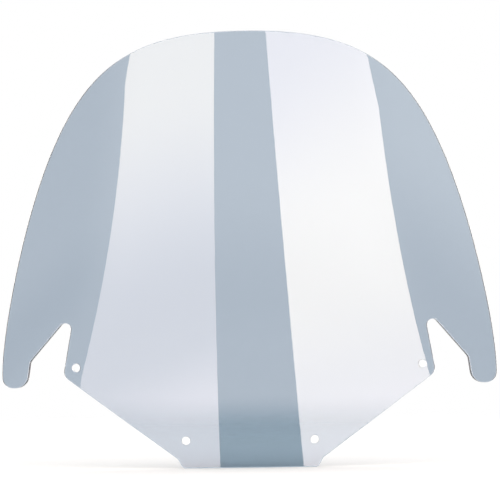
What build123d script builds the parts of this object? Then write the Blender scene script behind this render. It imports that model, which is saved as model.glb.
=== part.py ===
"""Windshield screen of a touring motorcycle.

The screen is one clear sheet, blanked from flat stock and heat-formed over a mould.
X runs across the screen, +Z up along it, and -Y is the convex front that meets the wind.
The middle of its bounding box stands on the origin in X and Y, and its bottom edge on Z = 0.
All sizes are in millimetres.
"""
from build123d import *
from math import sqrt
import os

# Overall size, seen square from the front
WIDTH = 635.0                 # across the two side wings
HEIGHT = 555.0                # from the bottom edge to the crown
THICKNESS = 4.5               # of the sheet, square to its face

# Form of the front face: each level section is an arc, and the arcs open towards the bottom.
# An arc's depth is how far it would sweep back if it were carried out to the full width.
CROWN_DEPTH = 175.5           # of the level arc at the crown
FOOT_DEPTH = 91.8             # of the level arc at the bottom edge
BOW = 17.0                    # how far the middle line bulges forward between crown and foot

# Upper outline: one curve from the crown over the shoulder to the side of the wing
CROWN_FLATNESS = 66.7         # half length over which the crown stays level
SHOULDER_INSET = 94.0         # outer shoulder control point, in from the side
SHOULDER_DROP = 8.7           # and down from the crown
FLANK_INSET = 78.9            # flank control point, in from the side
FLANK_DROP = 54.5             # and down from the crown
WING_SIDE_HEIGHT = 120.0      # where the side of the wing starts to stand upright
WING_SIDE_RISE = 98.0         # length over which it stays nearly upright

# Side wing, and the notch between it and the mounting tab
WING_TIP_HEIGHT = 103.0       # bottom of the wing above the bottom edge
WING_TIP_WIDTH = 32.0         # across the wing at its tip
WING_OUTER_RADIUS = 13.5      # outer corner of the tip
WING_INNER_RADIUS = 17.5      # inner corner of the tip
WING_HEEL_HEIGHT = 137.0      # where the inner side of the wing turns into the notch
WING_HEEL_INSET = 37.0        # that corner, in from the side
WING_HEEL_RADIUS = 10.0
NOTCH_APEX_INSET = 94.9       # sharp corner at the head of the notch, in from the side
NOTCH_APEX_HEIGHT = 203.5
NOTCH_HEAD_RADIUS = 7.4       # rounds that corner

# Mounting tab and the lower edge
TAB_CORNER_INSET = 79.4       # outer corner of the tab, in from the side
TAB_CORNER_HEIGHT = 118.5
TAB_CORNER_RADIUS = 13.0
BOTTOM_WIDTH = 172.0          # of the short level edge at the bottom
BEVEL_REACH = 6.5             # of the small bevel at each end of it
BEVEL_RISE = 12.0
BEVEL_RADIUS = 5.0            # rounds both corners of the bevel

# Mounting holes, drilled square to the sheet
HOLE_DIAMETER = 11.0
UPPER_HOLE_INSET = 17.2       # from the tab's outer corner in to the hole's centre
UPPER_HOLE_HEIGHT = 129.0
LOWER_HOLE_SPACING = 163.7    # centre to centre
LOWER_HOLE_HEIGHT = 35.3

# Finish of the sawn rim
EDGE_ROUND = 1.2              # rounded and polished on both faces

# Working values
HALF_WIDTH = WIDTH / 2
MARGIN = 12.0                 # the face is formed this much larger than the outline
FACE_STEPS = 24               # spacing of the points that the formed face passes through
REACH = 1000.0                # of the cutting prism, past the deepest wing


def radius_of(depth):
    """Radius of an arc that sweeps back by this depth over half the width."""
    return (HALF_WIDTH**2 + depth**2) / (2 * depth)


def arc_radius(z):
    """Radius of the level section at height z."""
    foot, crown = radius_of(FOOT_DEPTH), radius_of(CROWN_DEPTH)
    return foot + (crown - foot) * z / HEIGHT


def front(x, z):
    """Depth of the front face: a level arc, on a middle line that bows forward."""
    radius = arc_radius(z)
    arc = radius - sqrt(radius**2 - x**2)
    along = z / HEIGHT
    return arc + BOW * (1 - 4 * along * (1 - along))


def normal(x, z):
    """Unit normal of the front face at (x, z), pointing out of the convex side."""
    step = 0.01
    across = (front(x + step, z) - front(x - step, z)) / (2 * step)
    upward = (front(x, z + step) - front(x, z - step)) / (2 * step)
    return Vector(across, -1, upward).normalized()


def outline():
    """The blank's outline in the XZ plane, symmetric about the middle."""
    tip_inner = HALF_WIDTH - WING_TIP_WIDTH
    crown_to_wing = Bezier(
        (0, 0, HEIGHT),
        (CROWN_FLATNESS, 0, HEIGHT),
        (HALF_WIDTH - SHOULDER_INSET, 0, HEIGHT - SHOULDER_DROP),
        (HALF_WIDTH - FLANK_INSET, 0, HEIGHT - FLANK_DROP),
        (HALF_WIDTH, 0, WING_SIDE_HEIGHT + WING_SIDE_RISE),
        (HALF_WIDTH, 0, WING_SIDE_HEIGHT),
    )
    wing_to_bottom = FilletPolyline(
        (HALF_WIDTH, 0, WING_SIDE_HEIGHT),
        (HALF_WIDTH, 0, WING_TIP_HEIGHT),
        (tip_inner, 0, WING_TIP_HEIGHT),
        (HALF_WIDTH - WING_HEEL_INSET, 0, WING_HEEL_HEIGHT),
        (HALF_WIDTH - NOTCH_APEX_INSET, 0, NOTCH_APEX_HEIGHT),
        (HALF_WIDTH - TAB_CORNER_INSET, 0, TAB_CORNER_HEIGHT),
        (BOTTOM_WIDTH / 2 + BEVEL_REACH, 0, BEVEL_RISE),
        (BOTTOM_WIDTH / 2, 0, 0),
        (0, 0, 0),
        radius=[
            WING_OUTER_RADIUS,
            WING_INNER_RADIUS,
            WING_HEEL_RADIUS,
            NOTCH_HEAD_RADIUS,
            TAB_CORNER_RADIUS,
            BEVEL_RADIUS,
            BEVEL_RADIUS,
        ],
    )
    right = [*crown_to_wing.edges(), *wing_to_bottom.edges()]
    left = [edge.mirror(Plane.YZ) for edge in right]
    return Face(Wire(right + left))


def formed_face():
    """The convex front face, somewhat larger than the outline."""
    spread = HALF_WIDTH + MARGIN
    low, high = -MARGIN, HEIGHT + MARGIN
    rows = []
    for i in range(FACE_STEPS + 1):
        z = low + (high - low) * i / FACE_STEPS
        xs = [spread * (2 * j / FACE_STEPS - 1) for j in range(FACE_STEPS + 1)]
        rows.append([(x, front(x, z), z) for x in xs])
    return Face.make_surface_from_array_of_points(rows, tol=0.01, min_deg=3, max_deg=6)


def hole_centres():
    """The four hole centres as (x, z), seen from the front."""
    upper = HALF_WIDTH - TAB_CORNER_INSET - UPPER_HOLE_INSET
    lower = LOWER_HOLE_SPACING / 2
    return [
        (-upper, UPPER_HOLE_HEIGHT),
        (upper, UPPER_HOLE_HEIGHT),
        (-lower, LOWER_HOLE_HEIGHT),
        (lower, LOWER_HOLE_HEIGHT),
    ]


def drill(x, z):
    """A drill at (x, z), square to the sheet and long enough to pass through it."""
    plane = Plane(origin=(x, front(x, z), z), z_dir=normal(x, z))
    return plane * Cylinder(HOLE_DIAMETER / 2, 6 * THICKNESS)


def screen_panel():
    """The sheet: trimmed, thickened, drilled, rounded along its rim, and centred on the origin."""
    prism = extrude(outline(), REACH, both=True)
    trimmed = (formed_face() & prism).faces()[0]
    sheet = Solid.thicken(trimmed, THICKNESS, normal_override=(0, 1, 0))
    sheet = (sheet - [drill(x, z) for x, z in hole_centres()]).solid()

    both_sides = sheet.faces().sort_by(SortBy.AREA)[-2:]
    rims = [edge for side in both_sides for edge in side.outer_wire().edges()]
    sheet = sheet.fillet(EDGE_ROUND, rims)

    box = sheet.bounding_box()
    return Pos(0, -box.center().Y, -box.min.Z) * sheet


os.makedirs("parts", exist_ok=True)
panel = screen_panel()
panel.label = "screen_panel"
export_step(panel, "parts/screen_panel.step")
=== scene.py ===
# %% [markdown]
# # A clear windshield screen for a touring motorcycle
#
# The real object is one sheet of clear plastic, lightly tinted blue-grey, sawn to its outline, heated
# until it is limp, and draped over a mould. It has two side wings, a notch beside each wing, four
# empty holes for its screws, and nothing else. So almost everything that the eye reads comes from two
# things: an exact smooth surface, and light that passes through it and bounces off it.
#
# A subdivided cage could make the shape, but it would only come near the formed surface, and a glossy
# sheet shows every wobble. This lesson works the surface out from a formula instead, and gives each
# vertex the true normal of that formula.

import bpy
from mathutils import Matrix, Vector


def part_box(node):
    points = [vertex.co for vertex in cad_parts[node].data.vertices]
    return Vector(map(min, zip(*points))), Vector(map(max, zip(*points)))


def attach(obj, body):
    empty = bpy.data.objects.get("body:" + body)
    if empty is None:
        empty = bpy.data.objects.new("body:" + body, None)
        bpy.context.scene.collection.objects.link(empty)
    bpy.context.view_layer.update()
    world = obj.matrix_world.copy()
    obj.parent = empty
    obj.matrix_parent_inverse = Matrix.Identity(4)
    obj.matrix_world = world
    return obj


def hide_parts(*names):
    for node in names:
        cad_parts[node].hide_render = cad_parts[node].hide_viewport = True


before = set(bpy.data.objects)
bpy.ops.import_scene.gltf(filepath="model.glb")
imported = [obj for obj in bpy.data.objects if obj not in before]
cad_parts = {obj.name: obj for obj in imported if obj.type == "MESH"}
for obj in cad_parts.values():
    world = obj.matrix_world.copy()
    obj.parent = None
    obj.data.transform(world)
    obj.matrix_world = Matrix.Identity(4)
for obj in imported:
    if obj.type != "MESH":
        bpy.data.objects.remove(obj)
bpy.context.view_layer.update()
panel_low, panel_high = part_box("screen_panel")

# %% Libraries
from math import comb, cos, pi, radians, sin

import bpy
import numpy as np
from mathutils import Matrix, Vector
from mathutils.geometry import delaunay_2d_cdt

# %% [markdown]
# ## The formed surface
#
# Every level slice through the convex front is an arc. The arcs are tight at the crown and open out
# towards the foot, as on a sheet draped over a cone, and the middle line bulges forward a little.
# That gives the depth of the front, y, as a plain function of x and z, and its slopes follow by
# differentiation. A height function is also easy to trim, because an outline drawn in x and z lands
# on it straight away.

# %% Sizes of the form, in metres
WIDTH = 0.635
HEIGHT = 0.555
THICKNESS = 0.0045
CROWN_DEPTH = 0.1755
FOOT_DEPTH = 0.0918
BOW = 0.017
HALF_WIDTH = WIDTH / 2


def radius_of(depth):
    """Radius of an arc that sweeps back by depth over half the width: (half width² + depth²) / 2 depth."""
    return (HALF_WIDTH**2 + depth**2) / (2 * depth)


FOOT_RADIUS = radius_of(FOOT_DEPTH)
CROWN_RADIUS = radius_of(CROWN_DEPTH)
OPENING_RATE = (CROWN_RADIUS - FOOT_RADIUS) / HEIGHT
print("arc radius", round(FOOT_RADIUS, 3), "m at the foot and", round(CROWN_RADIUS, 3), "m at the crown")

# %% The front face and its normals
def front(x, z):
    """Depth of the front: radius - sqrt(radius² - x²), plus a bow that is a parabola along z."""
    radius = FOOT_RADIUS + OPENING_RATE * z
    along = z / HEIGHT
    return radius - np.sqrt(radius**2 - x**2) + BOW * (1 - 4 * along * (1 - along))


def normals(x, z):
    """Unit normals of the front, out of its convex side: (dy/dx, -1, dy/dz), made one long."""
    radius = FOOT_RADIUS + OPENING_RATE * z
    reach = np.sqrt(radius**2 - x**2)
    across = x / reach
    upward = OPENING_RATE * (1 - radius / reach) + BOW * (8 * z / HEIGHT - 4) / HEIGHT
    direction = np.stack([across, -np.ones_like(across), upward], axis=-1)
    return direction / np.linalg.norm(direction, axis=-1, keepdims=True)


sweeps = [round(float(front(HALF_WIDTH, z) - front(0, z)), 4) for z in (0, HEIGHT)]
print("the sides sweep back by", sweeps, "m at the foot and the crown")

# %% [markdown]
# ## The outline
#
# From the crown to the side of each wing the edge is one long sweep: a Bezier curve says that with
# six points. The rest is straight runs joined by arcs, so it is a list of corners with a radius each.
# Both are worked out for the right half and mirrored.

# %% Curves in the plane
LEAST_ARC_POINTS = 3


def bezier(controls, count):
    """Points on a Bezier curve: each control weighted by C(n, i) t^i (1 - t)^(n - i)."""
    t = np.linspace(0, 1, count)[:, None]
    order = len(controls) - 1
    weights = [comb(order, i) * t**i * (1 - t) ** (order - i) for i in range(order + 1)]
    return sum(weight * np.array(point) for weight, point in zip(weights, controls))


def evenly(points, spacing):
    """The same line with its points a steady distance apart: lengths are added up and read back evenly."""
    steps = np.linalg.norm(np.diff(points, axis=0), axis=1)
    reached = np.concatenate([[0], np.cumsum(steps)])
    wanted = np.linspace(0, reached[-1], int(reached[-1] / spacing) + 1)
    return np.stack([np.interp(wanted, reached, points[:, k]) for k in (0, 1)], axis=-1)


def rounded(corners, radii, spacing, turn):
    """A polyline with an arc in each corner, without its last corner.

    An arc of radius r in a corner that turns by angle a starts r tan(a / 2) before the corner. Its
    points are the arc's centre plus r times a unit vector that swings through the angle a.
    """
    corners = np.array(corners, float)
    start = corners[0]
    points = [start[None]]
    for before, corner, after, radius in zip(corners, corners[1:], corners[2:], radii):
        arrive = (corner - before) / np.linalg.norm(corner - before)
        leave = (after - corner) / np.linalg.norm(after - corner)
        angle = np.arctan2(arrive[0] * leave[1] - arrive[1] * leave[0], arrive @ leave)
        inwards = np.sign(angle) * np.array([-arrive[1], arrive[0]])
        first = corner - radius * np.tan(abs(angle) / 2) * arrive
        swing = np.linspace(0, abs(angle), max(LEAST_ARC_POINTS, int(abs(angle) / turn)))[:, None]
        arc = first + radius * (np.sin(swing) * arrive + (1 - np.cos(swing)) * inwards)
        points += [straight(start, first, spacing), arc]
        start = arc[-1]
    points.append(straight(start, corners[-1], spacing))
    return np.concatenate(points)


def straight(start, end, spacing):
    """Evenly spaced points of a straight run, without its ends."""
    count = max(1, int(np.linalg.norm(end - start) / spacing))
    t = np.linspace(0, 1, count + 1)[1:-1, None]
    return start + t * (end - start)


# %% Sizes of the outline, in metres; an inset is measured in from the side
CROWN_FLATNESS = 0.0667
SHOULDER_INSET, SHOULDER_DROP = 0.0940, 0.0087
FLANK_INSET, FLANK_DROP = 0.0789, 0.0545
WING_SIDE_HEIGHT, WING_SIDE_RISE = 0.120, 0.098
WING_TIP_HEIGHT, WING_TIP_WIDTH = 0.103, 0.032
WING_OUTER_RADIUS, WING_INNER_RADIUS = 0.0135, 0.0175
WING_HEEL_INSET, WING_HEEL_HEIGHT, WING_HEEL_RADIUS = 0.037, 0.137, 0.010
NOTCH_APEX_INSET, NOTCH_APEX_HEIGHT, NOTCH_HEAD_RADIUS = 0.0949, 0.2035, 0.0074
TAB_CORNER_INSET, TAB_CORNER_HEIGHT, TAB_CORNER_RADIUS = 0.0794, 0.1185, 0.013
BOTTOM_WIDTH = 0.172
BEVEL_REACH, BEVEL_RISE, BEVEL_RADIUS = 0.0065, 0.012, 0.005

# %% The outline of the blank
EDGE_SPACING = 0.0025
ARC_STEP = radians(6)
CURVE_SAMPLES = 2000
TAB_CORNER_X = HALF_WIDTH - TAB_CORNER_INSET

crown_to_wing = [
    (0, HEIGHT),
    (CROWN_FLATNESS, HEIGHT),
    (HALF_WIDTH - SHOULDER_INSET, HEIGHT - SHOULDER_DROP),
    (HALF_WIDTH - FLANK_INSET, HEIGHT - FLANK_DROP),
    (HALF_WIDTH, WING_SIDE_HEIGHT + WING_SIDE_RISE),
    (HALF_WIDTH, WING_SIDE_HEIGHT),
]
wing_to_bottom = [
    (HALF_WIDTH, WING_SIDE_HEIGHT),
    (HALF_WIDTH, WING_TIP_HEIGHT),
    (HALF_WIDTH - WING_TIP_WIDTH, WING_TIP_HEIGHT),
    (HALF_WIDTH - WING_HEEL_INSET, WING_HEEL_HEIGHT),
    (HALF_WIDTH - NOTCH_APEX_INSET, NOTCH_APEX_HEIGHT),
    (TAB_CORNER_X, TAB_CORNER_HEIGHT),
    (BOTTOM_WIDTH / 2 + BEVEL_REACH, BEVEL_RISE),
    (BOTTOM_WIDTH / 2, 0),
    (0, 0),
]
corner_radii = [
    WING_OUTER_RADIUS,
    WING_INNER_RADIUS,
    WING_HEEL_RADIUS,
    NOTCH_HEAD_RADIUS,
    TAB_CORNER_RADIUS,
    BEVEL_RADIUS,
    BEVEL_RADIUS,
]

right_half = np.concatenate([
    evenly(bezier(crown_to_wing, CURVE_SAMPLES), EDGE_SPACING)[:-1],
    rounded(wing_to_bottom, corner_radii, EDGE_SPACING, ARC_STEP),
])
left_half = right_half[:0:-1] * (-1, 1)
blank_outline = np.concatenate([right_half, [(0, 0)], left_half])
print(len(blank_outline), "points round the outline,", len(right_half), "of them on the right half")

# %% [markdown]
# ## The four screw holes
#
# The screws pull a soft washer against the sheet, so each hole is drilled square to the surface and
# not square to the bike. Seen from the front its circle is therefore a narrow ellipse. The loops run
# the other way round from the outline, because the plastic lies outside them.

# %% Hole loops
HOLE_RADIUS = 0.0055
HOLE_POINTS = 60
UPPER_HOLE_INSET, UPPER_HOLE_HEIGHT = 0.0172, 0.129
LOWER_HOLE_SPACING, LOWER_HOLE_HEIGHT = 0.1637, 0.0353
upper_hole = TAB_CORNER_X - UPPER_HOLE_INSET, UPPER_HOLE_HEIGHT
lower_hole = LOWER_HOLE_SPACING / 2, LOWER_HOLE_HEIGHT


def hole_loop(x, z):
    """A circle in the sheet's own plane at (x, z): centre + r (cos a · u + sin a · v), as x and z."""
    n = normals(np.array(x), np.array(z))
    u = np.cross(n, (0, 0, 1))
    u = u / np.linalg.norm(u)
    v = np.cross(u, n)
    angle = np.linspace(0, 2 * pi, HOLE_POINTS, endpoint=False)[:, None]
    circle = HOLE_RADIUS * (np.cos(angle) * u - np.sin(angle) * v)
    return np.array((x, z)) + circle[:, (0, 2)]


holes = [hole_loop(side * x, z) for x, z in (upper_hole, lower_hole) for side in (1, -1)]
print(len(holes), "holes,", round(2 * HOLE_RADIUS, 4), "m across")

# %% [markdown]
# ## The rim
#
# A sawn edge is sharp enough to cut, so the maker rounds both of its arrises and polishes them. The
# drill leaves a crisper edge, which only has its burr taken off. The rounding matters more than its
# size suggests: it bends the light from all round, and so draws a clear sheet's outline as a fine line.
#
# A Bevel modifier could round it, but its width is measured on the mesh's own faces and its normals
# bend the reflections of the big faces nearby. Here one cross-section is carried round each loop. It
# is held in two directions that follow the loop: into the sheet, and out past its edge.

# %% A cross-section carried round a loop
OUTLINE_ROUND = 0.0012
HOLE_ROUND = 0.00035
ROUND_STEPS = 6
WALL_STEPS = 2


def cross_section(rounding):
    """Rows of (inset, depth, angle): a quarter circle, the straight wall, and a quarter circle.

    At angle a, the inset from the edge is r (1 - sin a), and the depth behind the front face is
    r (1 - cos a), plus the length of the straight wall once it is passed.
    """
    quarter = np.linspace(0, pi / 2, ROUND_STEPS)
    wall = np.linspace(0, THICKNESS - 2 * rounding, WALL_STEPS + 1)[1:-1]
    angle = np.concatenate([quarter, np.full(wall.size, pi / 2), quarter + pi / 2])
    passed = np.concatenate([
        np.zeros(ROUND_STEPS),
        wall,
        np.full(ROUND_STEPS, THICKNESS - 2 * rounding),
    ])
    inset = rounding * (1 - np.sin(angle))
    depth = rounding * (1 - np.cos(angle)) + passed
    return inset, depth, angle


def rim(loop, rounding):
    """Rings of points and normals round a loop: edge - inset · outwards - depth · normal."""
    x, z = loop.T
    edge = np.stack([x, front(x, z), z], axis=-1)
    n = normals(x, z)
    step = np.roll(edge, -1, axis=0) - edge
    step /= np.linalg.norm(step, axis=1, keepdims=True)
    outwards = np.cross(n, step + np.roll(step, 1, axis=0))
    outwards /= np.linalg.norm(outwards, axis=1, keepdims=True)
    inset, depth, angle = (row[:, None, None] for row in cross_section(rounding))
    rings = edge - inset * outwards - depth * n
    ring_normals = np.cos(angle) * n + np.sin(angle) * outwards
    return rings, ring_normals


loops = [blank_outline, *holes]
rims = [rim(loop, HOLE_ROUND if k else OUTLINE_ROUND) for k, loop in enumerate(loops)]
print("each rim has", len(rims[0][0]), "rings from the front face round to the back face")

# %% [markdown]
# ## Filling the two faces
#
# Between the outline and the holes the front needs an even net of triangles. A grid of quads would
# leave a staircase at the notches, and one big n-gon would be cut into slivers. So points are laid out
# like a honeycomb, the ones near an edge or outside it are dropped, and a constrained Delaunay
# triangulation joins them up, keeping every edge of the loops as it is.
#
# It works in the flat, in x and z, and the formula then puts each point on the curved front. The back
# uses the same triangles turned over, one thickness behind.

# %% A honeycomb of points inside the outline
NET = 0.0065


def inside(points, loop):
    """True where a ray to the right crosses the loop an odd number of times."""
    px, pz = points[:, :1], points[:, 1:]
    (ax, az), (bx, bz) = loop.T, np.roll(loop, -1, axis=0).T
    spans = (az > pz) != (bz > pz)
    rise = np.where(bz == az, 1, bz - az)
    crossing = ax + (pz - az) / rise * (bx - ax)
    return (spans & (px < crossing)).sum(axis=1) % 2 == 1


def clearance(points, loop):
    """Distance from each point to the nearest point of a loop."""
    gaps = points[:, None, :] - loop[None, :, :]
    return np.sqrt((gaps**2).sum(axis=-1)).min(axis=1)


columns = np.arange(-HALF_WIDTH, HALF_WIDTH, NET)
rows = np.arange(0, HEIGHT, NET * sin(pi / 3))
net_x, net_z = np.meshgrid(columns, rows)
net_x = net_x + np.where(np.arange(len(rows)) % 2, NET / 2, 0)[:, None]
net = np.stack([net_x.ravel(), net_z.ravel()], axis=-1)
net = net[inside(net, blank_outline)]
for loop in loops:
    net = net[clearance(net, loop) > NET / 2]
for loop in holes:
    net = net[~inside(net, loop)]
print(len(net), "points inside the outline")

# %% Triangles between them
front_loops = [rings[0][:, (0, 2)] for rings, _ in rims]
flat_points = np.concatenate([*front_loops, net])
starts = np.cumsum([0, *map(len, front_loops)])
loop_edges = np.concatenate([
    start + np.stack([np.arange(len(loop)), np.roll(np.arange(len(loop)), -1)], axis=-1)
    for start, loop in zip(starts, front_loops)
])
INSIDE_LOOPS = 1
SAME_POINT = 1e-7
_, _, found_faces, found_from, _, _ = delaunay_2d_cdt(
    [Vector(point) for point in flat_points.tolist()], loop_edges.tolist(), [], INSIDE_LOOPS, SAME_POINT
)
source_of = np.array([sources[0] for sources in found_from])
triangles = source_of[np.array(found_faces)]
for loop in front_loops[1:]:
    triangles = triangles[~inside(flat_points[triangles].mean(axis=1), loop)]
print(len(triangles), "triangles on each face")

# %% [markdown]
# ## Putting the sheet together
#
# One closed skin: the front, the back, and a band of quads round each loop. The vertices are stored
# loop by loop, then the front's net and then the back's, so the triangles of each face need only a
# table that says where its points ended up.

# %% The arrays of the skin
def band(ring_count, size, start):
    """Quads between neighbouring rings of one loop, as indices start + ring · size + place."""
    ring, place = np.meshgrid(np.arange(ring_count - 1), np.arange(size), indexing="ij")
    after = (place + 1) % size
    corners = (ring, place), (ring, after), (ring + 1, after), (ring + 1, place)
    return np.stack([start + r * size + p for r, p in corners], axis=-1).reshape(-1, 4)


def sheet_arrays():
    """All vertices and their normals, the triangles of both faces, and the quads of the rims."""
    x, z = net.T
    net_front = np.stack([x, front(x, z), z], axis=-1)
    net_normals = normals(x, z)
    points = [rings.reshape(-1, 3) for rings, _ in rims]
    directions = [turned.reshape(-1, 3) for _, turned in rims]
    offsets = np.cumsum([0, *map(len, points)])
    sizes = [rings.shape[1] for rings, _ in rims]
    first = [start + np.arange(size) for start, size in zip(offsets, sizes)]
    last = [end - size + np.arange(size) for end, size in zip(offsets[1:], sizes)]
    front_place = np.concatenate([*first, offsets[-1] + np.arange(len(net))])
    back_place = np.concatenate([*last, offsets[-1] + len(net) + np.arange(len(net))])
    points += [net_front, net_front - THICKNESS * net_normals]
    directions += [net_normals, -net_normals]
    bands = [band(len(rings), size, start) for (rings, _), size, start in zip(rims, sizes, offsets)]
    faces = np.concatenate([front_place[triangles], back_place[triangles[:, ::-1]]])
    return np.concatenate(points), np.concatenate(directions), faces, np.concatenate(bands)


def volume(points, faces):
    """Volume of a closed skin of triangles: the sum of a · (b × c) / 6."""
    a, b, c = (points[faces[:, k]] for k in range(3))
    return float((a * np.cross(b, c)).sum() / 6)


# The formula counts depth from the sheet's own front, and the shared frame from the middle of the
# model, so the sheet moves to the front and the foot of its CAD box.
points, directions, faces, bands = sheet_arrays()
points += np.array([0, panel_low.y - points[:, 1].min(), panel_low.z - points[:, 2].min()])
skin = np.concatenate([faces, bands[:, (0, 1, 2)], bands[:, (0, 2, 3)]])
print("volume of the sheet", round(volume(points, skin), 6), "cubic metres")

# %% One closed mesh
screen_mesh = bpy.data.meshes.new("clear_screen")
screen_mesh.from_pydata(points.tolist(), [], [*faces.tolist(), *bands.tolist()])
screen_mesh.shade_smooth()
screen_mesh.normals_split_custom_set_from_vertices(directions.tolist())

# Each vertex keeps how far it is turned out: the sine of its angle on a rim, and 0 on the two faces.
turned_out = np.zeros(len(points))
turned_out[: len(points) - 2 * len(net)] = np.concatenate([
    np.repeat(np.sin(cross_section(OUTLINE_ROUND)[2]), rings.shape[1]) for rings, _ in rims
])
rim_share = screen_mesh.attributes.new("rim_share", "FLOAT", "POINT")
rim_share.data.foreach_set("value", turned_out)

screen = bpy.data.objects.new("clear_screen", screen_mesh)
bpy.context.scene.collection.objects.link(screen)
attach(screen, "root")
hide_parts("screen_panel")
gaps = *(points.min(axis=0) - panel_low), *(points.max(axis=0) - panel_high)
print("corners of the sheet and of its CAD box differ by", [round(float(gap), 5) for gap in gaps], "m")

# %% [markdown]
# ## Nodes by arithmetic
#
# The finish is worked out with nodes from the place on the sheet. Wiring each sum by hand would hide
# the pattern in a tangle, so one method makes every node, and a small class lets the outputs stand in
# ordinary arithmetic. A pattern then reads as a formula.


# %% Two small classes
class Nodes:
    """The nodes of one material, light or world, all made by one method."""

    def __init__(self, owner):
        owner.use_nodes = True
        self.tree = owner.node_tree
        self.tree.nodes.clear()

    def add(self, kind, settings=None, inputs=None, output=0):
        """A node: first its settings, then a value or a wire for each socket. Gives one output back."""
        node = self.tree.nodes.new("ShaderNode" + kind)
        for name, value in (settings or {}).items():
            setattr(node, name, value)
        for name, value in (inputs or {}).items():
            if isinstance(value, Wire):
                self.tree.links.new(value.socket, node.inputs[name])
            else:
                node.inputs[name].default_value = value
        return Wire(self, node.outputs[output]) if node.outputs else None


class Wire:
    """An output socket. Arithmetic on it adds one Math node for each step."""

    def __init__(self, nodes, socket):
        self.nodes = nodes
        self.socket = socket

    def math(self, operation, *values):
        return self.nodes.add("Math", {"operation": operation}, dict(enumerate(values)))

    def __add__(self, other):
        return self.math("ADD", self, other)

    def __sub__(self, other):
        return self.math("SUBTRACT", self, other)

    def __rsub__(self, other):
        return self.math("SUBTRACT", other, self)

    def __mul__(self, other):
        return self.math("MULTIPLY", self, other)

    __radd__ = __add__
    __rmul__ = __mul__

    def size(self):
        """The number without its sign."""
        return self.math("ABSOLUTE", self)

    def at_least(self, lowest):
        """The number, or lowest if that is more."""
        return self.math("MAXIMUM", self, lowest)

    def ramp(self, low, high):
        """0 at low, 1 at high, a smooth rise between them and level beyond them."""
        settings = {"interpolation_type": "SMOOTHSTEP"}
        return self.nodes.add("MapRange", settings, {"Value": self, "From Min": low, "From Max": high})

    def part(self, axis):
        """The X, Y or Z of a vector."""
        return self.nodes.add("SeparateXYZ", inputs={0: self}, output=axis)

    def blend(self, start, end):
        """A colour: start where this number is 0, end where it is 1."""
        return self.nodes.add("Mix", {"data_type": "RGBA"}, {0: self, 6: start, 7: end}, output=2)

    def noise(self, lumps, turn, detail):
        """Noise from 0 to 1 at this place, with so many lumps per metre along axes turned by turn."""
        inputs = {"Vector": self, "Rotation": turn, "Scale": [1 / count for count in lumps]}
        turned = self.nodes.add("Mapping", {"vector_type": "TEXTURE"}, inputs)
        return self.nodes.add("TexNoise", {}, {"Vector": turned, "Scale": 1, "Detail": detail})


# %% [markdown]
# ## The tint
#
# The plastic is tinted blue-grey. A tint can be put in two places. Volume Absorption puts it in the
# plastic, so that a ray with a longer way through it comes out darker, as in the real thing. But light
# that runs along inside the sheet, from rim to rim, would lose nearly everything, and the rim would go
# black. So only a little of the tint is in the volume, and the rest is in the surface colour, which
# every ray meets once on its way in and once on its way out.
#
# The surface colour is darker over the foot. That is painted shade: it stands in for the shaded floor
# seen through the sheet. On the rim the colour is lifted almost to white, which is painted light.

# %% How deep the tint is
VOLUME_TINT = 0.075, 0.23, 0.405
VOLUME_DENSITY = 10
SURFACE_TINT = 0.462, 0.532, 0.615, 1
# Painted shade: a darker surface colour over the foot, in place of the shaded floor seen through it.
FOOT_PAINTED_SHADE = 0.270, 0.365, 0.447, 1
# Painted light: the rim's surface colour is lifted almost to white, so that the edge reads lighter.
RIM_PAINTED_LIGHT = 0.92, 0.96, 1, 1
FOOT_SHADE_FULL, FOOT_SHADE_TOP = 0.047, 0.095


def tint_and_painted_light(place, at_rim):
    """Surface colour: the sheet's tint, darker below a height as painted shade, and nearly clear on the
    rim as painted light.
    """
    # Painted shade below these heights, mixed into the real blue-grey tint.
    painted_shade_at_foot = 1 - place.part("Z").ramp(FOOT_SHADE_FULL, FOOT_SHADE_TOP)
    # On the rim the colour blends to near white, which is painted light.
    return at_rim.blend(painted_shade_at_foot.blend(SURFACE_TINT, FOOT_PAINTED_SHADE), RIM_PAINTED_LIGHT)


passed = [round(float(np.exp(-VOLUME_DENSITY * (1 - share) * THICKNESS)), 2) for share in VOLUME_TINT]
print("one thickness of the volume lets through", passed, "of red, green and blue")

# %% [markdown]
# ## The finish
#
# A formed sheet is nearly, not wholly, perfect. Wiping leaves long faint smears on the slant, which
# are a little rougher, so the roughness is noise stretched into streaks. Draping leaves a slow swell
# of a few hundredths of a millimetre, which only the reflections show: that is a Bump node over lumps
# 14 to 20 cm across. The rim, where the saw went through, stays frosted even after it is polished.

# %% Smears and swell
POLISHED = 0.012
SMEAR_ROUGHNESS = 0.02
RIM_FROST = 0.30
SMEAR_LUMPS = 9, 9, 70
SMEAR_TURN = 0, radians(28), 0
SMEAR_DETAIL = 3
SMEAR_SHARE = 0.45, 0.75
SWELL_LUMPS = 7, 7, 5
SWELL_DETAIL = 1
SWELL_DEPTH = 0.00004


def roughness(place, at_rim):
    """Polished, plus a little where it was wiped, plus more on the rim."""
    smears = place.noise(SMEAR_LUMPS, SMEAR_TURN, SMEAR_DETAIL).ramp(*SMEAR_SHARE)
    return POLISHED + SMEAR_ROUGHNESS * smears + RIM_FROST * at_rim


def swell(place):
    """The slow swell of the faces, as a bumped normal."""
    height = place.noise(SWELL_LUMPS, (0, 0, 0), SWELL_DETAIL) * SWELL_DEPTH
    return place.nodes.add("Bump", {}, {"Strength": 1, "Distance": 1, "Height": height})


print("the swell is at most", SWELL_DEPTH, "m high")

# %% [markdown]
# ## The clear plastic
#
# The sheet bends and mirrors light as a dense clear plastic does, which the index of refraction says.
# Both faces wear a hard coat against scratches, and that mirrors a little light of its own: it is the
# shader's coat. A closed sheet with a real thickness needs no trick to look clear. The ray enters one
# face, is tinted, and leaves by the other.

# %% One clear, coated, tinted plastic
PLASTIC_IOR = 1.586
COAT_IOR = 1.5
COAT_ROUGHNESS = 0.02


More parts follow.
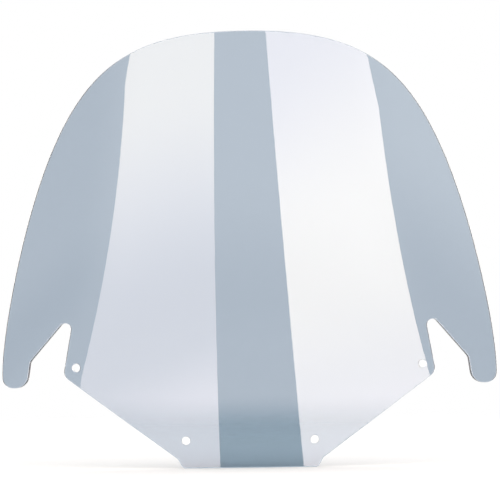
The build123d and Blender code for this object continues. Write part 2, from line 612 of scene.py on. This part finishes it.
def clear_plastic():
    """A glass-like surface with a hard coat, over a plastic that takes up a little red and green."""
    material = bpy.data.materials.new("clear_tinted_plastic")
    nodes = Nodes(material)
    place = nodes.add("TexCoord", output="Object")
    at_rim = nodes.add("Attribute", {"attribute_name": "rim_share"}, output="Fac")
    surface = nodes.add("BsdfPrincipled", {}, {
        "Base Color": tint_and_painted_light(place, at_rim),
        "Roughness": roughness(place, at_rim),
        "IOR": PLASTIC_IOR,
        "Transmission Weight": 1,
        "Coat Weight": 1,
        "Coat Roughness": COAT_ROUGHNESS,
        "Coat IOR": COAT_IOR,
        "Normal": swell(place),
    })
    plastic = nodes.add("VolumeAbsorption", {}, {"Color": (*VOLUME_TINT, 1), "Density": VOLUME_DENSITY})
    nodes.add("OutputMaterial", {}, {"Surface": surface, "Volume": plastic})
    return material


screen_mesh.materials.append(clear_plastic())
print("the sheet is", screen_mesh.materials[0].name)

# %% [markdown]
# ## The floor
#
# The sheet stands on its bottom edge on a plain pale floor. The floor fades out before it ends and
# before it reaches the lights, so there is no horizon line behind the sheet or mirrored in its back
# face. It is left out of mirrored light, because the soft lights reach below it, so that their
# reflections run the whole height of the sheet.

# %% A pale disc that fades out
FLOOR_RADIUS = 3.0
FLOOR_SPOKES = 96
FLOOR_COLOUR = 0.905, 0.91, 0.915, 1
FADE_FROM, FADE_TO = 0.2 * FLOOR_RADIUS, 0.9 * FLOOR_RADIUS


def disc(radius, spokes):
    """A flat disc: the middle, and points radius · (cos a, sin a) round it."""
    angle = np.linspace(0, 2 * pi, spokes, endpoint=False)
    edge = np.stack([radius * np.cos(angle), radius * np.sin(angle), 0 * angle], axis=-1)
    places = np.arange(spokes)
    faces = np.stack([0 * places, 1 + places, 1 + (places + 1) % spokes], axis=-1)
    mesh = bpy.data.meshes.new("pale_floor")
    mesh.from_pydata([(0, 0, 0), *edge.tolist()], [], faces.tolist())
    return mesh


def floor_paint():
    """Matt off-white that is solid round the sheet and clear towards the disc's edge."""
    material = bpy.data.materials.new("pale_floor")
    nodes = Nodes(material)
    place = nodes.add("TexCoord", output="Object")
    reach = nodes.add("VectorMath", {"operation": "LENGTH"}, {0: place}, output="Value")
    surface = nodes.add("BsdfPrincipled", {}, {
        "Base Color": FLOOR_COLOUR,
        "Roughness": 1,
        "Specular IOR Level": 0,
        "Alpha": 1 - reach.ramp(FADE_FROM, FADE_TO),
    })
    nodes.add("OutputMaterial", {}, {"Surface": surface})
    return material


floor_mesh = disc(FLOOR_RADIUS, FLOOR_SPOKES)
floor_mesh.materials.append(floor_paint())
floor = bpy.data.objects.new("pale_floor", floor_mesh)
floor.visible_glossy = False
bpy.context.scene.collection.objects.link(floor)
print("floor", round(2 * FLOOR_RADIUS, 1), "m across")

# %% [markdown]
# ## The studio
#
# A clear sheet has hardly any look of its own: it shows what is behind it and mirrors what is in
# front of it. So the world is plain white, except that a mirrored ray that leaves towards the front
# finds a studio that isn't so even.
#
# - In the middle there is a pale wall, and a darker table below the horizon, where the camera stands.
# - At the far left there is only the unlit room, which is darkest just above the horizon.
# - At the far right it is as dark as the table low down, and there is a bright wall above that.
#
# The middle of the sheet mirrors the wall, its foot the table, and the wings the two sides.

# %% White all round, with a darker mirrored front
# A share is of full white. The other numbers are parts of a direction that is one long.
FRONT_FULL = 0.3
BELOW, ABOVE = -0.07, 0.10
WALL_SHARE, TABLE_SHARE = 0.82, 0.25
SIDE_FROM, SIDE_TO = 0.6, 0.85
LEFT_DARKEST, LEFT_SPREAD, LEFT_SHARE = 0.03, 0.08, 0.33
RIGHT_LOW, RIGHT_HIGH = 0.03, 0.20
RIGHT_DARK_SHARE, RIGHT_GAIN = 0.2, 0.95


def white_studio():
    """A world of strength 1, apart from mirrored rays, whose strength follows their direction."""
    world = bpy.data.worlds.new("white_studio")
    nodes = Nodes(world)
    direction = nodes.add("TexCoord", output="Generated")
    rightwards, upwards = direction.part("X"), direction.part("Z")
    at_left = (0 - rightwards).ramp(SIDE_FROM, SIDE_TO)
    at_right = rightwards.ramp(SIDE_FROM, SIDE_TO)
    middle = TABLE_SHARE + (WALL_SHARE - TABLE_SHARE) * upwards.ramp(BELOW, ABOVE)
    left = LEFT_SHARE * (upwards - LEFT_DARKEST).size().ramp(0, LEFT_SPREAD)
    right = RIGHT_DARK_SHARE + RIGHT_GAIN * upwards.ramp(RIGHT_LOW, RIGHT_HIGH)
    front_side = middle + at_left * (left - middle) + at_right * (right - middle)
    glossy = nodes.add("LightPath", output="Is Glossy Ray")
    mirrored = nodes.add("LightPath", output="Is Reflection Ray") * glossy
    forwards = (0 - direction.part("Y")).ramp(0, FRONT_FULL)
    strength = 1 + mirrored * forwards * (front_side - 1)
    glow = nodes.add("Background", {}, {"Color": (1, 1, 1, 1), "Strength": strength})
    nodes.add("OutputWorld", {}, {"Surface": glow})
    return world


bpy.context.scene.world = white_studio()
bpy.context.scene.view_settings.view_transform = "Standard"
print("the mirrored front has", TABLE_SHARE, "of white below the horizon and", WALL_SHARE, "above it")

# %% [markdown]
# ## Tall soft lights
#
# Two tall soft lights stand in front, one on each side, and the curved sheet mirrors each as a long
# bright band. Two narrower ones stand behind and do the same for the hollow side, which is seen only
# when the sheet is looked at from the rider's seat. Between the bands the sheet shows its tint.
#
# The slant and the width of a band follow from the curve of the sheet and from where its light
# stands. So each light has its own turn, tilt and roll, and its fabric is drawn in along the outer
# side, as on a softbox on thin rods.
#
# The lights are there to be mirrored, not looked at, so they are hidden from the camera and from
# rays that have passed through the sheet.

# %% The glow of a soft light
LIGHT_DISTANCE = 3.0
LIGHT_HEIGHT = 3.0
DRAWN_IN = 0.19
DRAWN_IN_REACH = 0.74
SOFT_SIDE = 0.01
HOT_COLOUR = 1, 0.87, 0.72, 1
FAR_COLOUR = 1, 0.86, 0.84, 1
FAR_FROM, FAR_TO = 0.10, 1.20
LOW_FROM, LOW_TO = 0.45, 0.85


def lamp_glow(nodes, width, outer_side, narrowest, hot, falloff, low_lift):
    """Colour and strength over a light: brightest at the height hot, lifted low down, dark past its side.

    Heights are counted from the light's middle. The outer side is drawn in by
    d (1 - ((v - n) / reach)²) at height v, and never outwards.
    """
    place = nodes.add("NewGeometry", output="Parametric")
    share = place.part("X")
    height = (place.part("Y") - 0.5) * LIGHT_HEIGHT
    from_side = share * width if outer_side < 0 else (1 - share) * width
    bow = (height - narrowest) * (1 / DRAWN_IN_REACH)
    side = ((1 - bow * bow) * DRAWN_IN).at_least(0)
    far = (height - hot).size().ramp(FAR_FROM, FAR_TO)
    low = (0 - height).ramp(LOW_FROM, LOW_TO)
    strength = (1 - far * falloff + low * low_lift) * (from_side - side).ramp(0, SOFT_SIDE)
    return {"Color": far.blend(HOT_COLOUR, FAR_COLOUR), "Strength": strength}


# %% A soft light on its stand
UP = np.array([0, 0, 1])
sheet_middle = np.array([0, panel_low.y, (panel_low.z + panel_high.z) / 2])


def soft_light(name, bearing, width, tilt, roll, brightness, glow):
    """A tall light at a bearing from the sheet's middle line, facing it, then tilted and rolled."""
    towards = np.array([sin(bearing), -cos(bearing), 0])
    right = np.array([cos(bearing), sin(bearing), 0])
    back = cos(tilt) * towards - sin(tilt) * UP
    up = cos(tilt) * UP + sin(tilt) * towards
    across = cos(roll) * right + sin(roll) * up
    along = cos(roll) * up - sin(roll) * right
    data = bpy.data.lights.new(name, "AREA")
    data.shape = "RECTANGLE"
    data.size = width
    data.size_y = LIGHT_HEIGHT
    data.energy = brightness * pi * width * LIGHT_HEIGHT
    nodes = Nodes(data)
    outer_side = np.sign(right[0] * towards[0])
    emission = nodes.add("Emission", {}, lamp_glow(nodes, width, outer_side, **glow))
    nodes.add("OutputLight", {}, {"Surface": emission})
    light = bpy.data.objects.new(name, data)
    light.matrix_world = Matrix(np.stack([across, along, back], axis=-1).tolist()).to_4x4()
    light.location = sheet_middle + LIGHT_DISTANCE * towards
    light.visible_camera = False
    light.visible_transmission = False
    bpy.context.scene.collection.objects.link(light)
    print(name, round(data.energy), "watts")


soft_light(
    "left_soft_light", bearing=radians(-30.7), width=2.151, tilt=radians(14.6), roll=radians(1.1),
    brightness=4.25, glow={"narrowest": 0.353, "hot": 1.05, "falloff": 0.42, "low_lift": 0.30},
)
soft_light(
    "right_soft_light", bearing=radians(33.5), width=2.343, tilt=radians(2.0), roll=radians(9.9),
    brightness=5.3, glow={"narrowest": -0.085, "hot": 0.1, "falloff": 0.26, "low_lift": 0.17},
)

for side, name in ((-1, "left_rear_soft_light"), (1, "right_rear_soft_light")):
    soft_light(
        name, bearing=side * radians(138), width=1.3, tilt=radians(6), roll=0,
        brightness=3.6, glow={"narrowest": 0, "hot": 0.5, "falloff": 0.3, "low_lift": 0},
    )

# %% [markdown]
# ## The camera
#
# A catalogue view: level with the middle of the sheet, square on, from far away with a long lens, so
# that the near middle and the far wings keep the same scale. It leans by less than a degree.

# %% Level, square on and far away
CAMERA_DISTANCE = 8.0
CAMERA_RIGHT = 0.0026
CAMERA_HEIGHT = 0.2762
VIEW_WIDTH = 0.639
OUTLINE_DEPTH = 0.080
LEAN = radians(0.74)
camera_data = bpy.data.cameras.new("catalogue_camera")
camera_data.lens = camera_data.sensor_width * (CAMERA_DISTANCE + OUTLINE_DEPTH) / VIEW_WIDTH
camera = bpy.data.objects.new("catalogue_camera", camera_data)
camera_axes = (cos(LEAN), 0, -sin(LEAN)), (sin(LEAN), 0, cos(LEAN)), (0, -1, 0)
camera.matrix_world = Matrix(camera_axes).transposed().to_4x4()
camera.location = CAMERA_RIGHT, panel_low.y - CAMERA_DISTANCE, CAMERA_HEIGHT
bpy.context.scene.collection.objects.link(camera)
bpy.context.scene.camera = camera
print("lens", round(camera_data.lens), "mm")
